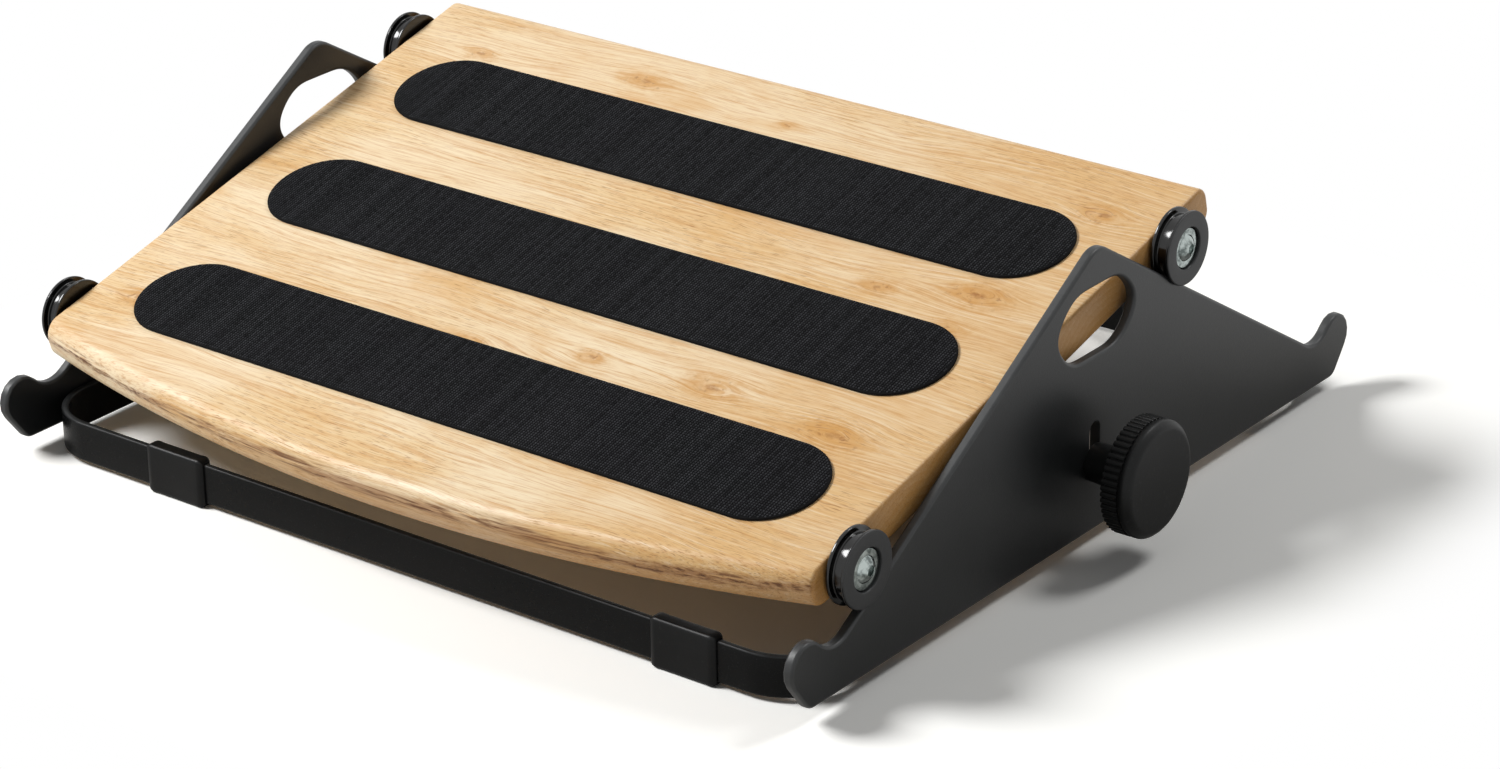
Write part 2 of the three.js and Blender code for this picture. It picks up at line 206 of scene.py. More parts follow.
# %% [markdown]
# The board is a pale plantation hardwood, glued up from staves and lacquered. Its look has five
# layers: a stave's own tint, soft bands along the grain, fine streaks in them, short dark pores,
# and a few small knots. Fibres part round a knot as water parts round a post, and the same sum
# serves here: each knot pushes the grain's lines aside, most of all close by. A picture would
# show one face only. A solid pattern runs through the wood, so the top, the bowed edge and the
# ends agree, and the ends show growth rings. The front edge has one dark stain, and its lower
# part is painted darker and warmer, most towards the right, as painted shade.

# %% Wood
STAVE_WIDTH = 46.0
RING_WIDTH = 3.4
# Knots: along the board, across it from the middle line, and size, in millimetres
KNOTS = [
    (96, -55, 6.5), (160, -61, 7.5), (36, -58, 3.5), (-19, -71, 4), (117, 30, 4), (160, 18, 4),
    (160, 41, 7), (176, 110, 6), (-73, 121, 5), (9, 116, 2), (-161, 111, 4), (-177, -104, 5),
]


def board_wood():
    wood = Finish("board_wood", board_place)
    place = wood.node("ShaderNodeSeparateXYZ", {0: wood.spot})
    along, across, up = place.of("X"), place.of("Y"), place.of("Z")
    stave = wood.math("FLOOR", across / STAVE_WIDTH + 0.31)
    chance = wood.node("ShaderNodeTexWhiteNoise", {"W": stave}, "Value", noise_dimensions="1D")
    near, heart, push = 0, 0, 0
    for knot_along, knot_across, size in KNOTS:
        run = (along - knot_along) / (2.0 * size)
        off = across - knot_across
        side = off / size
        spread = run * run + side * side
        push = off / (spread + 0.55) + push
        near = 1 / (1 + spread * spread * 0.35) + near
        heart = 1 / (1 + spread * spread * 120) + heart
    wander = wood.noise(1, 2, 0.5, wood.stretched(0.006, 0.022, 0.022))
    flow = wood.node("ShaderNodeCombineXYZ", {
        "X": along, "Y": across - push * 0.8 + wander * 22, "Z": up + chance * 400,
    })
    broad = wood.noise(1, 2, 0.5, wood.stretched(0.005, 0.11, 0.11, spot=flow))
    lines = wood.noise(1, 3, 0.6, wood.stretched(0.02, 0.8, 0.8, spot=flow))
    fibre = wood.noise(1, 2, 0.6, wood.stretched(0.07, 2.2, 2.2, spot=flow))
    pore_field = wood.noise(1, 1, 0.5, wood.stretched(0.15, 2.6, 2.6, spot=flow))
    cloud = wood.noise(1, 3, 0.55, wood.stretched(0.009, 0.021, 0.03, (7, 3, 1)))
    patch = wood.noise(1, 4, 0.6, wood.stretched(0.014, 0.034, 0.05, (3, 9, 4)))
    amber = wood.step(patch, 0.53, 0.7)
    blot = wood.noise(1, 3, 0.65, wood.stretched(0.16, 0.3, 0.3))
    pores = wood.step(pore_field, 0.59, 0.68) * wood.step(cloud, 0.34, 0.6)
    warm = wood.step(along + (cloud - 0.5) * 260, 10, 150)
    golden = wood.step(near + (blot - 0.5) * 1.7 + (lines - 0.5) * 1.7, 0.0, 1.35)
    core = wood.step(heart + (blot - 0.5) * 2.4, 0.4, 1.1)
    specks = wood.step(wood.noise(0.3, 2, 0.6), 0.56, 0.76) * wood.step(near, 0.3, 1.1)
    front = wood.step(across, -127, -136)
    # Painted shade: the lower part of the front edge is painted darker and warmer, most towards
    # the right
    face = front * wood.step(up, 6.5, 3) * wood.step(along, -160, 60)
    band = 1 - wood.step(wood.math("ABSOLUTE", up - 3.2 - (wander - 0.5) * 12), 0.8, 3.4)
    runs = wood.noise(1, 3, 0.65, wood.stretched(0.03, 0.02, 0.5, (1, 2, 3)))
    stain = band * front * wood.step(runs, 0.36, 0.56)
    depth = up + 46 + chance * 30
    sideways = across - (stave + 0.19 + chance * 0.9) * STAVE_WIDTH
    radius = (sideways * sideways + depth * depth) ** 0.5
    ring = wood.math("FRACT", (radius + wander * 12) / RING_WIDTH)
    ends = wood.step(wood.math("ABSOLUTE", along), 201.8, 202.9)
    base = wood.layers("#f8e3bf", [
        (wood.step(cloud, 0.38, 0.64), "#edcd9b"),
        (chance * 0.3, "#e4bd86"),
        (warm * 0.5, "#dba860"),
        (wood.step(broad, 0.5, 0.68) * 0.36, "#dcad70"),
        (wood.step(lines, 0.5, 0.7) * 0.46, "#d09656"),
        (wood.step(lines, 0.5, 0.3) * 0.4, "#fdecce"),
        (wood.step(fibre, 0.5, 0.7) * 0.42, "#c28344"),
        (amber * 0.45, "#d9a257"),
        (golden * 0.74, "#cf9548"),
        (core * 0.42, "#94581f"),
        (specks * 0.6, "#9a6128"),
        # painted shade on the lower front edge
        (face * 0.45, "#c8925c"),
        (stain * 0.55, "#935a2c"),
        (stain * wood.step(lines, 0.46, 0.6) * 0.85, "#5a3016"),
        (ends * (0.6 + ring * 0.2), "#c98f45"),
        (pores * 0.52, "#9a5f2c"),
    ])
    return wood.surface({
        "Base Color": base,
        "Roughness": 0.33 + fibre * 0.14 + pores * 0.18,
        "Normal": wood.bump(fibre * 0.4 - pores * 0.8 + lines * 0.3, 0.05),
        "Specular IOR Level": 0.34,
        "Coat Weight": 0.04,
        "Coat Roughness": 0.3,
    })

# %% [markdown]
# The steel is powder coated: a dry powder is melted on, and it leaves a fine orange-peel skin.
# The plates have the coarser, duller grade and the bars a smoother one. The bevelled edges carry
# a painted number called edge. There the coat is painted a little paler all along, as a painted
# sheen where the rounded edges catch the light, and it is flatter; where a noise allows it,
# handling has rubbed it paler still.

# %% Powder coats
def coat(name, dark, pale, rough, grain, relief, shine, worn_and_edge_sheen="#77797a"):
    paint = Finish(name)
    peel = paint.noise(grain, 3, 0.55)
    cloud = paint.noise(0.018, 3, 0.6)
    speck = paint.step(paint.noise(grain * 2.3, 1, 0.5), 0.62, 0.8)
    edge = paint.mark("edge")
    rubbed = edge * paint.step(paint.noise(0.12, 4, 0.65), 0.35, 0.65)
    base = paint.layers(dark, [
        (paint.step(cloud, 0.3, 0.72), pale),
        (speck * 0.1, worn_and_edge_sheen),
        # Painted sheen: every bevelled edge is a little paler, as where light catches it; rubbed
        # adds real wear on top
        (edge * 0.05 + rubbed * 0.06, worn_and_edge_sheen),
    ])
    return paint.surface({
        "Base Color": base,
        "Roughness": rough + (cloud - 0.5) * 0.1 + (peel - 0.5) * 0.12 + edge * 0.05,
        "Normal": paint.bump(peel * (1 - edge * 0.9), relief),
        "Specular IOR Level": shine,
    })

# %% [markdown]
# Rubber shines little. Dust makes it greyer, and a gap between two ribs, from which hardly any
# light comes back, is painted near black as painted shade. Two painted numbers steer that: tone
# lifts single ribs and beads, and the other marks the gaps that get the painted shade. One recipe
# serves the pads and the sleeves, each with its own roughness. The pale bushes inside the rollers
# are as plain, so they share it.

# %% Rubbers
def rubber(name, dark, pale, rough, grain, relief, shine):
    skin = Finish(name)
    fine = skin.noise(grain, 3, 0.6)
    cloud = skin.noise(0.05, 3, 0.6)
    dust = skin.step(skin.noise(0.35, 4, 0.7), 0.56, 0.78)
    base = skin.layers(dark, [
        (skin.step(cloud, 0.3, 0.7), pale),
        (dust * 0.06, "#6d6e6f"),
        (skin.mark("tone") * 0.46, "#57585c"),
        # Painted shade: the marked gaps between ribs and studs are painted near black
        (skin.mark("dent"), "#040405"),
    ])
    return skin.surface({
        "Base Color": base,
        "Roughness": rough + (cloud - 0.5) * 0.14 + dust * 0.08,
        "Normal": skin.bump(fine, relief),
        "Specular IOR Level": shine,
    })

# %% [markdown]
# The rollers and the knob are moulded from black plastic. Where the mould is polished the plastic
# shines, as on a roller's rim, and elsewhere it is dull. Two materials could show that, but a soft
# line between them is easier with one: a painted number called gloss mixes its two surfaces.

# %% Plastics
def plastic(name, dark, pale, matte, glossy, shine=0.5):
    """A moulded black plastic. The number gloss, painted on the points, says where it shines."""
    skin = Finish(name)
    fine = skin.noise(1.7, 2, 0.5)
    cloud = skin.noise(0.07, 3, 0.6)
    gloss = skin.mark("gloss")
    scuff = skin.step(skin.noise(0.5, 4, 0.7), 0.55, 0.75) * (1 - gloss)
    base = skin.layers(dark, [
        (skin.step(cloud, 0.3, 0.7), pale),
        (gloss, "#060606"),
        # Painted shade: marked gaps, such as those between the knob's ribs, are painted near black
        (skin.mark("dent"), "#010101"),
        (scuff * 0.07, "#77787a"),
    ])
    rough = matte + (cloud - 0.5) * 0.1
    return skin.surface({
        "Base Color": base,
        "Roughness": rough * (1 - gloss) + (glossy + (cloud - 0.5) * 0.06) * gloss,
        "Normal": skin.bump(fine * (1 - gloss), 0.03),
        "Specular IOR Level": shine,
    })

# %% [markdown]
# Screws and washers are zinc plated, and the inserts are brass. Bright metal shows little colour
# of its own, mostly what stands round it. So what makes it real is how unevenly it mirrors: the
# tint and the roughness both drift in small clouds, with faint turning marks over them.

# %% Metals
def metal(name, colour, tint, rough):
    """Plated or turned metal, with fine turning marks and cloudy passivation."""
    plate = Finish(name)
    lines = plate.noise(1, 2, 0.5, plate.stretched(9, 0.9, 0.9))
    cloud = plate.noise(0.32, 3, 0.6)
    return plate.surface({
        "Base Color": plate.layers(colour, [(plate.step(cloud, 0.35, 0.68), tint)]),
        "Metallic": 1.0,
        "Roughness": rough + (cloud - 0.5) * 0.22 + (lines - 0.5) * 0.08,
        "Normal": plate.bump(lines, 0.012),
    })

# %% [markdown]
# Now each material slot of the frame gets its finish, with its darkest and palest colour and how
# rough it is. The solids wear them too, because a few of them, such as the bushes, are shown as
# they are.

# %% The finish of each slot
finishes = {
    "board_wood": board_wood(),
    "plate_coat": coat("plate_coat", "#151718", "#1b1d1e", 0.38, 1.5, 0.05, 0.47),
    "bar_coat": coat("bar_coat", "#08090a", "#0c0d0e", 0.3, 0.9, 0.03, 0.14),
    "pad_rubber": rubber("pad_rubber", "#0b0c0d", "#101113", 0.7, 2.0, 0.04, 0.08),
    "sleeve_rubber": rubber("sleeve_rubber", "#0b0c0d", "#101112", 0.4, 1.2, 0.04, 0.2),
    "roller_plastic": plastic("roller_plastic", "#18191a", "#1e1f20", 0.5, 0.12),
    "knob_plastic": plastic("knob_plastic", "#0b0c0c", "#101111", 0.42, 0.2, 0.21),
    "bush_plastic": rubber("bush_plastic", "#d2d2cb", "#dcdcd6", 0.45, 1.0, 0.02, 0.5),
    "zinc_plate": metal("zinc_plate", "#b0b9b6", "#5e6664", 0.13),
    "brass": metal("brass", "#c9a45c", "#b58f49", 0.32),
}
for node, solid in frame["nodes"].items():
    for held in solid.material_slots:
        held.material = finishes[slot_of[node]]
print("finishes:", ", ".join(finishes))

# %% [markdown]
# Every piece is finished in the same way. Doubled points are merged, faces are turned outwards,
# and smooth shading is kept from running over sharp edges. Then the piece takes the place of its
# solid: it rides on the solid's body, wears the solid's finish and hides it.

# %% Pieces and how they take a solid's place
def add_object(name, data):
    """A new object in the scene."""
    made = bpy.data.objects.new(name, data)
    bpy.context.scene.collection.objects.link(made)
    return made


def as_piece(name, mesh, node, sharp=38):
    work = bmesh.new()
    work.from_mesh(mesh)
    bmesh.ops.remove_doubles(work, verts=work.verts, dist=0.001 * MM)
    bmesh.ops.recalc_face_normals(work, faces=work.faces)
    work.to_mesh(mesh)
    work.free()
    mesh.materials.clear()
    mesh.materials.append(finishes[slot_of[node]])
    mesh.shade_smooth()
    mesh.set_sharp_from_angle(angle=math.radians(sharp))
    piece = add_object(name, mesh)
    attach(piece, body_of[node])
    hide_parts(node)
    return piece


def paint_on(mesh, name, values):
    """A named number on each point, which a finish can read with its mark()."""
    mesh.attributes.new(name, "FLOAT", "POINT").data.foreach_set("value", values)


def mesh_of(name, corners, faces, place=Matrix.Identity(4)):
    mesh = bpy.data.meshes.new(name)
    mesh.from_pydata([place @ Vector(corner) for corner in corners], [], faces)
    return mesh

# %% [markdown]
# Many pieces are one outline carried along: a roller's section goes round its axle, the board's
# section goes along its length. Both are rings of points with faces sewn between them. Corners of
# an outline are eased first, because a real edge is never sharp, and the small round on it is what
# catches the light.

# %% Rings, eased outlines and turned pieces
def spun(profile, steps):
    """Rings about X for a profile of (along, radius)."""
    angles = [2 * math.pi * i / steps for i in range(steps)]
    return [[(a, r * math.cos(t), r * math.sin(t)) for t in angles] for a, r in profile]


def eased(outline, reach, steps=4, loop=True):
    """An outline with its corners rounded off, all by one reach or each by its own."""
    count = len(outline)
    reaches = reach if isinstance(reach, list) else [reach] * count
    made = []
    for i, corner in enumerate(outline):
        corner = Vector(corner)
        before = Vector(outline[i - 1]) - corner
        after = Vector(outline[(i + 1) % count]) - corner
        open_end = not loop and i in (0, count - 1)
        if open_end or reaches[i] == 0:
            made.append(corner)
            continue
        room = min(reaches[i], 0.48 * before.length, 0.48 * after.length)
        start = corner + before.normalized() * room
        end = corner + after.normalized() * room
        for k in range(steps + 1):
            t = k / steps
            made.append(start.lerp(corner, t).lerp(corner.lerp(end, t), t))
    return made


def sewn(rings, closed_row=False, caps=True):
    """Corners and faces of a skin over rings of equal length. A closed row meets its start."""
    count = len(rings[0])
    corners = [corner for ring in rings for corner in ring]
    rows = len(rings) if closed_row else len(rings) - 1
    faces = []
    for i in range(rows):
        here, there = i * count, (i + 1) % len(rings) * count
        for j in range(count):
            k = (j + 1) % count
            faces.append((here + j, here + k, there + k, there + j))
    if caps and not closed_row:
        faces.append(tuple(range(count))[::-1])
        faces.append(tuple(range(len(corners) - count, len(corners))))
    return corners, faces


def turned(name, profile, steps, place, node, marks=None, sharp=38, loop=True):
    """A piece turned about X. The profile is (along, radius), and marks says how it shines."""
    mesh = mesh_of(name, *sewn(spun(profile, steps), closed_row=loop, caps=False), place)
    if marks:
        paint_on(mesh, "gloss", [mark for mark in marks for _ in range(steps)])
    return as_piece(name, mesh, node, sharp)

# %% [markdown]
# The board is one section with soft corners, wide at the middle and narrow at the ends, because
# its front edge is bowed on a large circle. Its ends are eased as well. So the section is drawn at
# many places along the board, a little smaller in the last millimetre and a half, and skinned.

# %% Board
BOARD_THICKNESS = 17.5 * MM
AXLE_DEPTH = 9.9 * MM
NOSE_REACH = 47 * MM
REAR_REACH = 31.1 * MM
BOW = 24.8 * MM
FRONT_TOP_ROUND = 7.6 * MM
FRONT_BOTTOM_ROUND = 6.6 * MM
REAR_ROUND = 6 * MM
END_EASE = 1.6 * MM
END_STEPS = 4
STATIONS = 72
CORNER_STEPS = 9

board_low, board_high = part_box("platform_board")
board_width = board_high.x - board_low.x
board_top = AXLE_DEPTH
bow_radius = (board_width ** 2 / 4 + BOW ** 2) / (2 * BOW)


def quarter_turns(steps):
    return [i / steps * math.pi / 2 for i in range(steps + 1)]


def quarter(centre_v, centre_w, radius, start, steps):
    """A quarter circle of points, from a start angle in quarter turns."""
    angles = [start * math.pi / 2 + t for t in quarter_turns(steps)]
    return [(centre_v + radius * math.cos(t), centre_w + radius * math.sin(t)) for t in angles]


def board_section(x, inset):
    bowed = bow_radius - math.sqrt(bow_radius ** 2 - x ** 2)
    front = bowed - axle_spacing / 2 - NOSE_REACH + inset
    rear = axle_spacing / 2 + REAR_REACH - inset
    top = board_top - inset
    bottom = board_top - BOARD_THICKNESS + inset
    low, high, back = (r - inset / 2 for r in (FRONT_BOTTOM_ROUND, FRONT_TOP_ROUND, REAR_ROUND))
    rounds = [
        (front + low, bottom + low, low, 2), (rear - back, bottom + back, back, 3),
        (rear - back, top - back, back, 0), (front + high, top - high, high, 1),
    ]
    return [(x, v, w) for place in rounds for v, w in quarter(*place, CORNER_STEPS)]


half = board_width / 2
plain = board_width - 2 * END_EASE
left_end = [(-half + END_EASE * (1 - math.cos(t)), END_EASE * (1 - math.sin(t)))
            for t in quarter_turns(END_STEPS)]
inner = [(-half + END_EASE + plain * i / STATIONS, 0) for i in range(1, STATIONS)]
right_end = [(-x, inset) for x, inset in reversed(left_end)]
stations = [*left_end, *inner, *right_end]
board_rings = [board_section(x, inset) for x, inset in stations]
board = as_piece("board", mesh_of("board", *sewn(board_rings), board_place), "platform_board", 50)
print("board corners:", len(board.data.vertices), "bow radius in mm:", round(bow_radius / MM))

# %% [markdown]
# Geometry Nodes build what repeats. A tree has named inputs for its sizes, and it is run on a
# plain base mesh by a modifier. The result is then kept as an ordinary mesh, so that nothing of
# the tree is left to run later. This class writes such a tree and runs it.

# %% Growing meshes with Geometry Nodes
class Grower(Patch):
    """A Geometry Nodes tree with named inputs, and a way to run it on a base mesh."""

    def __init__(self, name, sizes, counts=()):
        super().__init__(bpy.data.node_groups.new(name, "GeometryNodeTree"))
        face = self.tree.interface
        face.new_socket("Geometry", in_out="INPUT", socket_type="NodeSocketGeometry")
        face.new_socket("Geometry", in_out="OUTPUT", socket_type="NodeSocketGeometry")
        kinds = dict.fromkeys(sizes, "Float") | dict.fromkeys(counts, "Int")
        kinds["Material"] = "Material"
        self.keys = {}
        for title, kind in kinds.items():
            item = face.new_socket(title, in_out="INPUT", socket_type="NodeSocket" + kind)
            self.keys[title] = item.identifier
        self.entry = self.tree.nodes.new("NodeGroupInput")

    def input(self, title):
        return Wire(self, self.entry.outputs[title])

    def vector(self, x=0.0, y=0.0, z=0.0):
        return self.node("ShaderNodeCombineXYZ", {"X": x, "Y": y, "Z": z})

    def close(self, *shapes):
        joined = self.node("GeometryNodeJoinGeometry", {"Geometry": list(shapes)})
        real = self.node("GeometryNodeRealizeInstances", {"Geometry": joined})
        values = {"Geometry": real, "Material": self.input("Material")}
        self.node("NodeGroupOutput", {"Geometry": self.node("GeometryNodeSetMaterial", values)})

    def stand(self, points, block, size, lift, **more):
        """A copy of the block on each point, all lifted by that much, beside what comes in."""
        values = {"Points": points, "Instance": block, "Scale": size, **more}
        stood = self.node("GeometryNodeInstanceOnPoints", values)
        values = {"Geometry": stood, "Translation": self.vector(z=lift)}
        self.close(self.input("Geometry"), self.node("GeometryNodeTransform", values))

    def grow(self, base, values):
        host = add_object("host", base)
        modifier = host.modifiers.new("grow", "NODES")
        modifier.node_group = self.tree
        for title, value in values.items():
            modifier[self.keys[title]] = value
        ready = host.evaluated_get(bpy.context.evaluated_depsgraph_get())
        mesh = bpy.data.meshes.new_from_object(ready)
        bpy.data.objects.remove(host)
        return mesh

# %% [markdown]
# The grip pads are thin moulded rubber. Each has about 270 fine ribs across it, and each rib is
# cut into short beads, so the surface is a field of small raised studs. Bump alone would look
# flat at a low angle. Real studs cost little when each has six faces: a grid gives the places,
# those inside the pad's rounded outline are kept, and a small block stands on each. From where
# one looks the ribs almost run together, and what is left to see is that no two take dust and
# wear alike. So each rib and each bead also gets a tone by chance, from a fixed seed.

# %% Tree for the studs of a pad
STUD_TAPER = 0.66
studs = Grower("pad_studs", [
    "Length", "Width", "Rib pitch", "Stud pitch", "Stud width", "Stud length", "Stud height",
    "Floor", "Margin",
])


def fill_stud_tree():
    length, width = studs.input("Length"), studs.input("Width")
    columns = studs.math("FLOOR", length / studs.input("Rib pitch"))
    rows = studs.math("FLOOR", width / studs.input("Stud pitch"))
    grid = studs.node("GeometryNodeMeshGrid", {
        "Size X": (columns - 1) * studs.input("Rib pitch"),
        "Size Y": (rows - 1) * studs.input("Stud pitch"),
        "Vertices X": columns,
        "Vertices Y": rows,
    })
    place = studs.node("ShaderNodeSeparateXYZ", {0: studs.node("GeometryNodeInputPosition")})
    radius = width / 2
    past = studs.math("MAXIMUM", studs.math("ABSOLUTE", place.of("X")) - (length / 2 - radius), 0)
    away = (past * past + place.of("Y") * place.of("Y")) ** 0.5
    inside = studs.math("LESS_THAN", away, radius - studs.input("Margin"))
    corner = math.sqrt(0.5)
    block = studs.node("GeometryNodeMeshCone", {
        "Vertices": 4, "Radius Bottom": corner, "Radius Top": corner * STUD_TAPER, "Depth": 1,
    })
    values = {"Geometry": block, "Rotation": (0, 0, math.pi / 4)}
    square = studs.node("GeometryNodeTransform", values)
    size = studs.vector(*(studs.input("Stud " + way) for way in ("width", "length", "height")))
    studs.stand(grid, square, size, studs.input("Floor"), Selection=inside)


fill_stud_tree()
print("nodes in the tree of studs:", len(studs.tree.nodes))

# %% Pads
PAD_EASE = 0.25 * MM
STUD_WIDTH = 0.98 * MM
STUD_LENGTH = 1.12 * MM
STUD_HEIGHT = 0.36 * MM
STUD_SINK = 0.1 * MM
STUD_MARGIN = 0.9 * MM
RIB_SHARE = 0.45
RIB_PITCH = 1.325 * MM
STUD_PITCH = 1.3 * MM
ARC_POINTS = 40


def stadium(length, width, height):
    radius = width / 2
    turns = [math.pi * i / ARC_POINTS - math.pi / 2 for i in range(ARC_POINTS + 1)]
    right = [(length / 2 - radius + radius * math.cos(t), radius * math.sin(t)) for t in turns]
    return [(x, y, height) for x, y in [*right, *[(-x, -y) for x, y in right]]]


def paint_beads(mesh, length, width, body):
    """Two numbers on each point: the painted shade of the gaps, and tone, by chance for each rib
    and bead.
    """
    chance = random.Random(11)
    columns, rows = int(length / RIB_PITCH), int(width / STUD_PITCH)
    rib_tones = [chance.random() for _ in range(columns)]
    bead_tones = [[chance.random() for _ in range(rows)] for _ in range(columns)]
    gap_shades, tones = [], []
    for vertex in mesh.vertices:
        column = min(max(round(vertex.co.x / RIB_PITCH + (columns - 1) / 2), 0), columns - 1)
        row = min(max(round(vertex.co.y / STUD_PITCH + (rows - 1) / 2), 0), rows - 1)
        # Painted shade: the pad's floor between the studs is marked to be painted near black
        gap_shades.append(float(body - PAD_EASE < vertex.co.z < body + 0.01 * MM))
        tones.append(RIB_SHARE * rib_tones[column] + (1 - RIB_SHARE) * bead_tones[column][row])
    paint_on(mesh, "dent", gap_shades)
    paint_on(mesh, "tone", tones)


def grip_pad(row):
    node = f"grip_pad_{row}"
    flat = board_place.inverted()
    box = [flat @ corner.co for corner in frame["nodes"][node].data.vertices]
    low = Vector([min(p[i] for p in box) for i in range(3)])
    high = Vector([max(p[i] for p in box) for i in range(3)])
    length, width, height = high - low
    body = height - STUD_HEIGHT + STUD_SINK
    rings = [
        stadium(length, width, 0),
        stadium(length, width, body - PAD_EASE),
        stadium(length - PAD_EASE, width - PAD_EASE, body - PAD_EASE / 3),
        stadium(length - 2 * PAD_EASE, width - 2 * PAD_EASE, body),
    ]
    mesh = studs.grow(mesh_of("pad_base", *sewn(rings)), {
        "Length": length, "Width": width, "Rib pitch": RIB_PITCH, "Stud pitch": STUD_PITCH,
        "Stud width": STUD_WIDTH, "Stud length": STUD_LENGTH, "Stud height": STUD_HEIGHT,
        "Floor": body - STUD_SINK, "Margin": STUD_MARGIN, "Material": finishes["pad_rubber"],
    })
    paint_beads(mesh, length, width, body)
    place = Matrix.Translation(((low.x + high.x) / 2, (low.y + high.y) / 2, low.z))
    mesh.transform(board_place @ place)
    return as_piece(f"pad_{row}", mesh, node)


for row in ("front", "middle", "rear"):
    pad = grip_pad(row)
    print(pad.name, "faces:", len(pad.data.polygons))

# %% [markdown]
# The side plates are cut from flat steel, and their edges are tumbled soft before coating. The
# solid has the exact outline, so its flat face is walked round to find the closed outlines of the
# rim, the handle and the slot. Each is then drawn again, a little further in at every step of a
# quarter circle, which gives a soft edge without sharp turns. The slot keeps a tight edge, because
# the rod slides in it, and the handle's corners are drawn a little rounder, as fingers want them.
# The number edge marks the soft rim, where the coat gets a painted sheen and its wear.

# %% The outlines of a plate
HANDLE_POINTS = 160


def outlines(solid):
    """The closed outlines of the flat face that looks towards -X."""
    work = bmesh.new()
    work.from_mesh(solid.data)
    bmesh.ops.remove_doubles(work, verts=work.verts, dist=0.01 * MM)
    follow = {}
    for face in work.faces:
        for corner in face.loops:
            if face.normal.x < -0.9 < corner.link_loop_radial_next.face.normal.x:
                follow[corner.vert.co.to_tuple(7)] = corner.link_loop_next.vert.co.to_tuple(7)
    work.free()
    rows = []
    while follow:
        start, there = follow.popitem()
        row = [Vector(start)]
        while there != start:
            row.append(Vector(there))
            there = follow.pop(there)
        rows.append(row)
    return rows


def rounder(row, reach):
    """The same outline, rounder: even steps along it, each averaged with those near it."""
    ends = row[1:] + row[:1]
    lengths = [(end - start).length for start, end in zip(row, ends)]
    step = sum(lengths) / HANDLE_POINTS
    even, i, walked = [], 0, 0.0
    for k in range(HANDLE_POINTS):
        while walked + lengths[i] < k * step:
            walked += lengths[i]
            i += 1
        even.append(row[i].lerp(ends[i], (k * step - walked) / lengths[i]))
    near = round(reach / step)
    around = range(-near, near + 1)
    return [sum((even[(k + d) % HANDLE_POINTS] for d in around), Vector()) / len(around)
            for k in range(HANDLE_POINTS)]


def drawn_in(row, inset):
    """The same outline, moved by that much into the material."""
    facing = Vector((-1, 0, 0))
    made = []
    for i, point in enumerate(row):
        before = facing.cross(point - row[i - 1]).normalized()
        after = facing.cross(row[(i + 1) % len(row)] - point).normalized()
        made.append(point + (before + after) / (1 + before.dot(after)) * inset)
    return made

# %% Plates
PLATE_EDGE = 1.4 * MM
SLOT_EDGE = 0.25 * MM
SLOT_REACH = 5 * MM
HANDLE_REACH = 7.5 * MM
EDGE_STEPS = 6


def side_plate(side):
    node = f"side_plate_{side}"
    low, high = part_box(node)
    rod = middle_of("tension_rod")
    turns = quarter_turns(EDGE_STEPS)
    corners, faces, marks, fronts, backs = [], [], [], [], []
    for row in outlines(frame["nodes"][node]):
        slot = all(abs(point.y - rod.y) < SLOT_REACH for point in row)
        rim = any(point.z < rod.z - SLOT_REACH for point in row)
        reach = SLOT_EDGE if slot else PLATE_EDGE
        row = row if slot or rim else rounder(row, HANDLE_REACH)
        steps = [(reach * (1 - math.cos(t)), reach * (1 - math.sin(t))) for t in turns]
        levels = [(low.x + depth, inset) for depth, inset in steps]
        levels += [(high.x - depth, inset) for depth, inset in reversed(steps)]
        rings = [[Vector((x, p.y, p.z)) for p in drawn_in(row, inset)] for x, inset in levels]
        made, skin = sewn(rings, caps=False)
        first, count = len(corners), len(row)
        corners += made
        faces += [tuple(first + i for i in face) for face in skin]
        marks += [float(0 < k < len(levels) - 1) for k in range(len(levels)) for _ in row]
        fronts.append(range(first, first + count))
        backs.append(range(len(corners) - count, len(corners)))
    for loops in (fronts, backs):
        order = [i for loop in loops for i in loop]
        for triangle in tessellate_polygon([[corners[i] for i in loop] for loop in loops]):
            faces.append(tuple(order[i] for i in triangle))
    mesh = mesh_of(node, corners, faces)
    paint_on(mesh, "edge", marks)
    plate = as_piece(f"plate_{side}", mesh, node)
    weigh = plate.modifiers.new("weigh", "WEIGHTED_NORMAL")
    weigh.keep_sharp = True
    print(plate.name, "outlines:", len(fronts), "faces:", len(faces))


for side in ("left", "right"):
    side_plate(side)

# %% [markdown]
# A base bar is a flat strip bent into a U. In Geometry Nodes that is one rule: a line of four
# points, its two corners filleted to the bend's radius, and a rectangle with eased edges carried
# along it. The front and the rear bar are the same bar turned round.

# %% Base bars
BEND_RADIUS = 27.5 * MM
BEND_STEPS = 28
BAR_THICKNESS = 3 * MM
BAR_EDGE = 0.9 * MM
BAR_EDGE_STEPS = 4

strip = Grower("bent_strip", ["Bend radius", "Height", "Thickness", "Edge"], ["Bend steps"])


def filleted(line, steps, radius):
    values = {"Curve": line, "Count": steps, "Radius": radius, "Limit Radius": True}
    return strip.node("GeometryNodeFilletCurve", values, mode="POLY")


def fill_strip_tree():
    line = strip.node("GeometryNodeMeshToCurve", {0: strip.input("Geometry")})
    bent = filleted(line, strip.input("Bend steps"), strip.input("Bend radius"))
    upright = strip.node("GeometryNodeSetCurveNormal", {"Curve": bent}, mode="Z_UP")
    flat = strip.node("GeometryNodeCurvePrimitiveQuadrilateral", {
        "Width": strip.input("Thickness"), "Height": strip.input("Height"),
    }, mode="RECTANGLE")
    section = filleted(flat, BAR_EDGE_STEPS, strip.input("Edge"))
    swept = strip.node("GeometryNodeCurveToMesh", {
        "Curve": upright, "Profile Curve": section, "Fill Caps": True,
    })
    strip.close(swept)


fill_strip_tree()


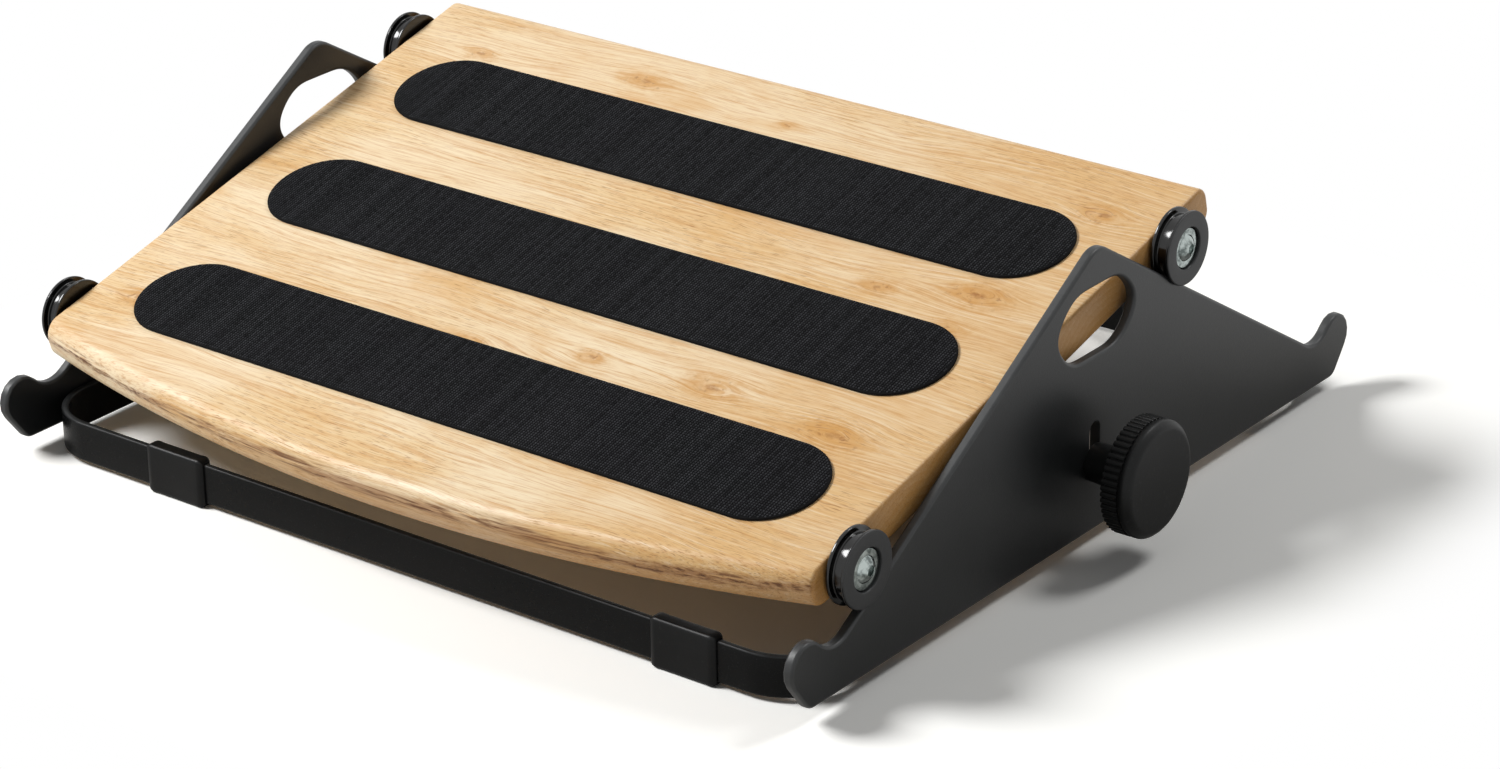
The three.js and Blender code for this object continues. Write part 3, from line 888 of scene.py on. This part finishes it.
def base_bar(end):
    node = f"base_bar_{end}"
    low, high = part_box(node)
    skin = BAR_THICKNESS / 2
    left, right = low.x + skin, high.x - skin
    face, tail = (low.y + skin, high.y) if end == "front" else (high.y - skin, low.y)
    middle = (low.z + high.z) / 2
    run = ((left, tail), (left, face), (right, face), (right, tail))
    line = bpy.data.meshes.new("bar_line")
    line.from_pydata([(x, y, middle) for x, y in run], [(0, 1), (1, 2), (2, 3)], [])
    mesh = strip.grow(line, {
        "Bend radius": BEND_RADIUS, "Bend steps": BEND_STEPS, "Height": high.z - low.z,
        "Thickness": BAR_THICKNESS, "Edge": BAR_EDGE, "Material": finishes["bar_coat"],
    })
    plain = (high.z - low.z) / 2 - 0.9 * BAR_EDGE
    paint_on(mesh, "edge", [float(abs(v.co.z - middle) > plain) for v in mesh.vertices])
    return as_piece(f"bar_{end}", mesh, node, 30)


for end in ("front", "rear"):
    bar = base_bar(end)
    ways = zip(*(v.co for v in bar.data.vertices))
    print(bar.name, "box in mm:", [round((max(way) - min(way)) / MM, 1) for way in ways])

# %% [markdown]
# The sleeves are short soft tubes pushed over the bars, and the whole footrest stands on them.
# Their ends are fat and round. Each is a ring-shaped skin: a rounded rectangle round the bar,
# drawn from just inside one end, out over the lip, along the outside and back in at the other end.

# %% Rubber sleeves
CORNERS = ("front_left", "front_right", "rear_left", "rear_right")
SLEEVE_CORNER = 1.7 * MM
SLEEVE_LIP = 3.2 * MM
SLEEVE_WAIST = 0.16 * MM
SLEEVE_GAP = 0.15 * MM
SLEEVE_RISE = 2.5 * MM
SLEEVE_CORNER_STEPS = 5
LIP_STEPS = 8


def sleeve_ring(x, middle, half_y, half_z, corner):
    points = []
    for turn, (right, up) in enumerate(((1, 1), (-1, 1), (-1, -1), (1, -1))):
        y = middle.y + right * (half_y - corner)
        z = middle.z + up * (half_z - corner)
        points += [(x, v, w) for v, w in quarter(y, z, corner, turn, SLEEVE_CORNER_STEPS)]
    return points


def sleeve(name):
    node = f"foot_sleeve_{name}"
    bar_low, bar_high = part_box("base_bar_" + name.split("_")[0])
    low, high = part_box(node)
    middle, outer = (low + high) / 2, (high - low) / 2
    wall = outer.z - (bar_high.z - bar_low.z) / 2 - SLEEVE_GAP
    half = outer.x
    lip = [(-half + SLEEVE_LIP * (1 - math.cos(t)), wall * (1 - math.sin(t)))
           for t in quarter_turns(LIP_STEPS)]
    waist = [(-half + SLEEVE_LIP + SLEEVE_RISE, SLEEVE_WAIST)]
    row = [(-half + 2 * SLEEVE_LIP, wall), *lip, *waist]
    path = [*row, *[(-x, depth) for x, depth in reversed(row)]]
    skins = []
    for x, depth in path:
        corner = max(SLEEVE_CORNER - depth * 0.8, 0.3 * MM)
        skins.append(sleeve_ring(middle.x + x, middle, outer.y - depth, outer.z - depth, corner))
    return as_piece(f"sleeve_{name}", mesh_of(node, *sewn(skins, closed_row=True)), node, 75)


for name in CORNERS:
    made = sleeve(name)
print("sleeve corners:", len(made.data.vertices))

# %% [markdown]
# A roller is a turned piece, so its section is drawn once and swept round the axle. Its groove is
# wider than the plate that it straddles, and the flanges keep it there. Mould tools are polished
# where the plastic runs and left dull on the face, so the rim shines and the outer face does not.

# %% Rollers
ROLLER = {
    "tread": 13.5, "flange": 16, "flange_width": 1.5,
    "recess": 9, "recess_depth": 2.6, "bore": 5.8,
}
ROLLER_STEPS = 96
WALL_SLOPE = 0.35
DULL_EDGE = 0.6


def outward_turn(name):
    """A turn that makes X run outwards, on the left as on the right."""
    return Matrix.Rotation(0 if name.endswith("right") else math.pi, 4, "Z")


def roller_place(name):
    """Where a roller's inner face is, turned so that X runs outwards."""
    low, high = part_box(f"roller_{name}")
    middle = (low + high) / 2
    face = low.x if name.endswith("right") else high.x
    return Matrix.Translation((face, middle.y, middle.z)) @ outward_turn(name)


def roller(name):
    low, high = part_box(f"roller_{name}")
    width = (high.x - low.x) / MM
    groove = ROLLER["flange_width"]
    rim, tread, recess, bore = (ROLLER[part] for part in ("flange", "tread", "recess", "bore"))
    floor = width - ROLLER["recess_depth"]
    outline = [
        (0, bore), (0, rim), (groove, rim),
        (groove + WALL_SLOPE, tread), (width - groove - WALL_SLOPE, tread),
        (width - groove, rim), (width, rim - 0.3),
        (width, recess), (floor, recess - 0.15), (floor, bore),
    ]
    profile = eased(outline, 0.55, 5)
    gloss = [float(a <= width - WALL_SLOPE and not (r < recess + DULL_EDGE and a > floor))
             for a, r in profile]
    profile = [(a * MM, r * MM) for a, r in profile]
    place = roller_place(name)
    return turned(f"wheel_{name}", profile, ROLLER_STEPS, place, f"roller_{name}", gloss, 60)


for name in CORNERS:
    wheel = roller(name)
print("roller corners:", len(wheel.data.vertices))

# %% [markdown]
# Each roller turns on a bush under a button-head screw and a plated washer. The screw's head is a
# low dome with a hexagonal socket. Its skin starts as circles and ends as a hexagon: each point
# keeps its angle, and only its distance from the axis changes.

# %% Screws and washers
SCREW = {"head_height": 2.6, "shank": 3, "socket": 2.35, "socket_depth": 1.5, "brim": 0.12}
SCREW_TURN = 0.35
HEAD_STEPS = 72
DOME_STEPS = 13
WASHER_STEPS = 72
# Radii of the washers' holes, and of the two kinds of rim that differ from their solids
M6_HOLE = 3.3 * MM
ROD_HOLE = 3.5 * MM
ROLLER_WASHER = 8.5 * MM
KNOB_WASHER = 7.3 * MM


def hexagon(angle, reach):
    """Distance from the middle to the side of a hexagon with its corners at that reach."""
    sector = math.pi / 3
    return reach * math.cos(sector / 2) / math.cos(angle % sector - sector / 2)


def screw(name):
    node = f"roller_screw_{name}"
    low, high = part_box(node)
    middle = middle_of(f"roller_{name}")
    top = abs((high.x if name.endswith("right") else low.x) - middle.x)
    radius = (high.z - low.z) / 2
    reach = high.x - low.x
    height, shank, socket, depth, brim = (size * MM for size in SCREW.values())
    bulge = (radius ** 2 + height ** 2) / (2 * height)
    dome = []
    for i in range(DOME_STEPS + 1):
        r = radius + (socket * 1.25 - radius) * i / DOME_STEPS
        dome.append((top - bulge + math.sqrt(bulge ** 2 - r ** 2), r))
    seat = top - height
    circles = [(top - reach, shank), (seat, shank), (seat, radius - 0.25 * MM), *dome]
    skins = spun(circles, HEAD_STEPS)
    angles = [2 * math.pi * i / HEAD_STEPS for i in range(HEAD_STEPS)]
    for down, share in ((brim, 1.04), (brim + 0.14 * MM, 1), (depth, 1), (depth, 0.3)):
        sides = [(t, hexagon(t, socket * share)) for t in angles]
        skins.append([(top - down, r * math.cos(t), r * math.sin(t)) for t, r in sides])
    turn = outward_turn(name) @ Matrix.Rotation(SCREW_TURN, 4, "X")
    place = Matrix.Translation(middle) @ turn
    return as_piece(f"screw_{name}", mesh_of(node, *sewn(skins), place), node, 35)


def left_face(node):
    """The middle of a solid's left face, as a place."""
    low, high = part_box(node)
    middle = (low + high) / 2
    return Matrix.Translation((low.x, middle.y, middle.z))


def ring_piece(piece_name, node, hole, edge, outer=None):
    """A washer, turned afresh at the place of its solid, with the solid's radius or its own."""
    low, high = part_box(node)
    outer = outer or (high.z - low.z) / 2
    width = high.x - low.x
    outline = [(0, hole), (0, outer), (width, outer), (width, hole)]
    return turned(piece_name, eased(outline, edge, 3), WASHER_STEPS, left_face(node), node)


for name in CORNERS:
    screw(name)
    ring_piece(f"washer_{name}", f"roller_washer_{name}", M6_HOLE, 0.3 * MM, ROLLER_WASHER)
    ring_piece(f"spacer_{name}", f"spacer_washer_{name}", M6_HOLE, 0.12 * MM)
for side, outer in (("left", None), ("right", KNOB_WASHER)):
    ring_piece(f"rod_washer_{side}", f"clamp_washer_{side}", ROD_HOLE, 0.25 * MM, outer)
print("screws and washers:", 3 * len(CORNERS) + 2)

# %% [markdown]
# The rod runs from plate to plate and clamps them. At the left it has a low round head, and its
# right end screws into the knob. It is a turned piece like the rollers.

# %% Tension rod
ROD = {"head": 7.5, "shaft": 3.2, "seat": 3.6, "slope": 1.6, "edge": 0.5}
ROD_STEPS = 64


def tension_rod():
    low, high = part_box("tension_rod")
    head, shaft, seat, slope, edge = (size * MM for size in ROD.values())
    length = high.x - low.x
    outline = [
        (0, 0), (0, head - slope), (seat * 0.55, head), (seat, head),
        (seat, shaft), (length, shaft), (length, 0),
    ]
    profile = eased(outline, edge, 4, loop=False)
    place = left_face("tension_rod")
    return turned("rod", profile, ROD_STEPS, place, "tension_rod", loop=False)


rod = tension_rod()
print("rod corners:", len(rod.data.vertices))

# %% [markdown]
# The knob is a moulded disc on a long boss, whose end is hollowed to go over the clamp washer.
# Its smooth body is turned. The ribs that the fingers grip stand round the rear part of its rim,
# so they are grown on a circle of points, each turned to face outwards, and joined with the body
# in one tree. The gaps between them take little light, so they get a painted shade: a number
# painted on their points darkens them to near black.

# %% Knob
KNOB = {"radius": 25, "thickness": 13.5, "band": 8.4, "boss": 8.2, "bore": 5.3, "bore_depth": 14.3}
KNOB_RIBS = 56
RIB_HEIGHT = 0.65 * MM
RIB_WIDTH = 2.2 * MM
RIB_GAP = 0.5 * MM
RIB_SIDES = 12
KNOB_STEPS = 144

ribs = Grower("knob_ribs", ["Radius", "Rib height", "Rib width", "Rib length", "Start"], ["Count"])


def fill_rib_tree():
    circle = ribs.node("GeometryNodeMeshCircle", {
        "Vertices": ribs.input("Count"), "Radius": ribs.input("Radius"),
    })
    rod = ribs.node("GeometryNodeMeshCylinder", {
        "Vertices": RIB_SIDES, "Radius": 1, "Depth": 1, "Side Segments": 1,
    })
    outwards = ribs.node("FunctionNodeAlignRotationToVector", {
        "Vector": ribs.node("GeometryNodeInputPosition"),
    }, axis="X")
    height, width, length = (ribs.input("Rib " + way) for way in ("height", "width", "length"))
    size = ribs.vector(height, width / 2, length)
    ribs.stand(circle, rod, size, ribs.input("Start") + length / 2, Rotation=outwards)


fill_rib_tree()


def hand_knob():
    low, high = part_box("knob")
    radius, thickness, band, boss, bore, deep = (size * MM for size in KNOB.values())
    back = high.x - low.x - thickness
    core = radius - RIB_HEIGHT
    face = back + thickness
    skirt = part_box("side_plate_right")[1].x - low.x + 0.25 * MM
    outline = [
        (deep, 0), (deep, bore), (0, bore),
        (0, boss - 0.6 * MM), (skirt, boss - 0.6 * MM), (skirt, boss),
        (back, boss + 1.2 * MM), (back, core - 1 * MM),
        (back + 1 * MM, core), (back + band, core), (back + band + 0.35 * MM, radius - 0.15 * MM),
        (face - 2.6 * MM, radius - 0.05 * MM), (face, radius - 2.6 * MM), (face, 0),
    ]
    ease = [0.2, 0.2, 0.2, 0.1, 0.1, 0.1, 2, 0.8, 0.5, 0.3, 0.3, 1.6, 1.6, 0]
    profile = eased(outline, [reach * MM for reach in ease], 5, loop=False)
    angles = [2 * math.pi * i / KNOB_STEPS for i in range(KNOB_STEPS)]
    rings = [[(r * math.cos(t), r * math.sin(t), a) for t in angles] for a, r in profile]
    body = mesh_of("knob_body", *sewn(rings, caps=False))
    mesh = ribs.grow(body, {
        "Count": KNOB_RIBS, "Radius": core - 0.1 * MM, "Rib height": RIB_HEIGHT + 0.08 * MM,
        "Rib width": RIB_WIDTH, "Rib length": band - 2 * RIB_GAP, "Start": back + RIB_GAP,
        "Material": finishes["knob_plastic"],
    })
    # Painted shade: the points at the floor of the rib gaps are marked, to be painted near black
    start, end, deepest = back + RIB_GAP, back + band + RIB_GAP, core + 0.05 * MM
    paint_on(mesh, "dent", [float(start < v.co.z < end and v.co.xy.length < deepest)
                            for v in mesh.vertices])
    mesh.transform(left_face("knob") @ Matrix.Rotation(math.pi / 2, 4, "Y"))
    return as_piece("hand_knob", mesh, "knob", 40)


knob = hand_knob()
print("knob faces:", len(knob.data.polygons))

# %% [markdown]
# The stage is a white studio: a floor that keeps the soft shadow and fades to plain white away
# from the footrest, a white surround for the camera and for reflections, one large soft lamp from
# the left, a weak one behind and a gentle fill from all round. The lamps stay at a level at which
# a colour shows about as it was chosen. The floor's tone is set for the camera: pale where it is
# open, and under the board a painted shade, a warm grey-brown that shows through the gap. Only the
# camera sees that tone, so it throws no light of that colour.

# %% Floor
FLOOR_SIZE = 12.0
# Where the floor turns plain, and where the painted shade under the board begins and is full, in
# mm
PLAIN_FROM, PLAIN_FULL = 286, 348
PAINTED_SHADE_ACROSS = (196, 170)
PAINTED_SHADE_MIDDLE = 45
PAINTED_SHADE_REARWARD = (112, 80)
OPEN_TONE = (1.26, 1.255, 1.22, 1)
# The painted shade under the board, as the camera sees it
PAINTED_SHADE_TONE = (0.5, 0.46, 0.42, 1)


def shows_plain(patch):
    """1 for the camera and for what mirrors or lets through, which see the plain background."""
    path = patch.node("ShaderNodeLightPath")
    through = patch.math("MAXIMUM", path.of("Is Transmission Ray"), path.of("Is Glossy Ray"))
    return patch.math("MAXIMUM", path.of("Is Camera Ray"), through)


def studio_floor():
    far = FLOOR_SIZE / 2
    corners = [(-far, -far, 0), (far, -far, 0), (far, far, 0), (-far, far, 0)]
    mesh = mesh_of("floor", corners, [(0, 1, 2, 3)])
    paint = Finish("studio_floor")
    seen = paint.node("ShaderNodeLightPath", out="Is Camera Ray")
    plain = shows_plain(paint)
    place = paint.node("ShaderNodeSeparateXYZ", {0: paint.spot})
    across, deep = (paint.math("ABSOLUTE", place.of(axis)) for axis in "XY")
    away = (across ** 3 + deep ** 3) ** (1 / 3)
    clear = paint.step(away, PLAIN_FROM, PLAIN_FULL) * plain
    rearward = paint.math("ABSOLUTE", place.of("Y") - PAINTED_SHADE_MIDDLE)
    under = paint.step(across, *PAINTED_SHADE_ACROSS) * paint.step(rearward, *PAINTED_SHADE_REARWARD)
    # Painted shade: under the board the camera sees the floor in a darker, warm grey-brown tone
    tone = paint.mix(under, OPEN_TONE, PAINTED_SHADE_TONE)
    tone = paint.mix(seen, shade("#e3e1dd"), tone)
    matte = paint.node("ShaderNodeBsdfDiffuse", {"Color": tone})
    glow = paint.node("ShaderNodeEmission", {"Color": (1, 1, 1, 1), "Strength": 1.0})
    mixed = paint.node("ShaderNodeMixShader", {0: clear, 1: matte, 2: glow})
    paint.node("ShaderNodeOutputMaterial", {"Surface": mixed})
    mesh.materials.append(paint.material)
    floor = add_object("studio_floor", mesh)
    return floor


floor = studio_floor()
print("floor in metres:", [round(x, 1) for x in floor.dimensions])

# %% Surround and lamps
FILL = 0.125
LAMPS = {
    # name: degrees round from +X, degrees up, distance, size in metres, power in watts
    "key": (216, 44, 2.6, 1.01, 63.0),
    "back": (53, 51, 1.7, 0.5, 6.9),
}


def surround():
    world = bpy.data.worlds.new("surround")
    world.use_nodes = True
    world.node_tree.nodes.clear()
    sky = Patch(world.node_tree)
    strength = shows_plain(sky) * (1 - FILL) + FILL
    light = sky.node("ShaderNodeBackground", {"Color": (1, 1, 1, 1), "Strength": strength})
    sky.node("ShaderNodeOutputWorld", {"Surface": light})
    bpy.context.scene.world = world


def lamp(name, round_from, up_from, distance, size, power):
    azimuth, height = math.radians(round_from), math.radians(up_from)
    light = bpy.data.lights.new(name, "AREA")
    light.shape = "DISK"
    light.size = size
    light.energy = power
    stand = add_object(name, light)
    aim = Vector((0, 0, 0.06))
    level = math.cos(height)
    away = Vector((math.cos(azimuth) * level, math.sin(azimuth) * level, math.sin(height)))
    stand.location = aim + away * distance
    stand.rotation_euler = away.to_track_quat("Z", "Y").to_euler()


surround()
for name, values in LAMPS.items():
    lamp(name, *values)
view = bpy.context.scene.view_settings
view.view_transform = "Standard"

# %% [markdown]
# The camera stands in front, to the right and above, at a bit over two arm's lengths, with a lens
# about twice the normal length, so the two plates look nearly alike in size. It is given by its
# place, the direction from the footrest back to it and a small roll about its own axis.

# %% Camera
CAMERA_PLACE = Vector((1.0633, -1.3548, 0.7829))
CAMERA_BACK = Vector((0.5569, -0.7250, 0.4052))
CAMERA_ROLL = math.radians(-0.6)
LENS = 104.74
SENSOR = 36.0


def camera():
    data = bpy.data.cameras.new("camera")
    data.sensor_width = SENSOR
    data.lens = LENS
    data.clip_start = 0.05
    data.clip_end = 30
    eye = add_object("camera", data)
    eye.location = CAMERA_PLACE
    aimed = (-CAMERA_BACK).to_track_quat("-Z", "Y").to_matrix()
    turn = aimed @ Matrix.Rotation(CAMERA_ROLL, 3, "Z")
    eye.rotation_euler = turn.to_euler()
    bpy.context.scene.camera = eye
    return turn


turn = camera()
for way, column in (("right", turn.col[0]), ("up", turn.col[1])):
    print("camera", way, [round(x, 4) for x in column])
